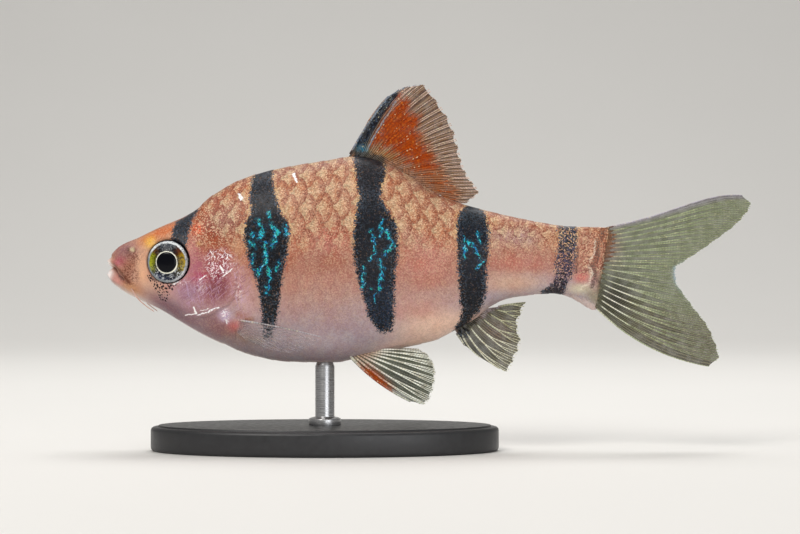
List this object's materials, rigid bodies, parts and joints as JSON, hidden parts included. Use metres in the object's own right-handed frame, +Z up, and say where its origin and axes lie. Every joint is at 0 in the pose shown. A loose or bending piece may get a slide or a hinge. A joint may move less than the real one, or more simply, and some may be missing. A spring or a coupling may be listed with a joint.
{
  "type": "five-banded barb display model",
  "caption": "Still, life-size model of a small banded barb, an aquarium fish, swimming level on a rod above a flat oval display base.",
  "frame": {"origin": "middle of the underside of the display stand's base", "axes": "+X runs towards the tail, so the snout points to -X; -Y is the fish's left side; +Z is up"},
  "size_m": [0.0501, 0.014, 0.0284],
  "materials": {
    "skin": "wet-looking scaled skin, salmon to lilac with dark bands",
    "fin": "thin clear membrane with fine pale rays",
    "eye": "polished, green-gold iris with a silver ring and a black pupil",
    "plinth": "satin black",
    "rod": "brushed"
  },
  "bodies": {
    "root": {"head": "skin", "torso": "skin", "tail": "skin", "eye_left": "eye", "eye_right": "eye", "barbel_left": "skin", "barbel_right": "skin", "dorsal_fin": "fin", "anal_fin": "fin", "tail_fin_upper_lobe": "fin", "tail_fin_lower_lobe": "fin", "pectoral_fin_left": "fin", "pectoral_fin_right": "fin", "pelvic_fin_left": "fin", "pelvic_fin_right": "fin", "stand_base": "plinth", "stand_rod": "rod"}
  },
  "joints": []
}
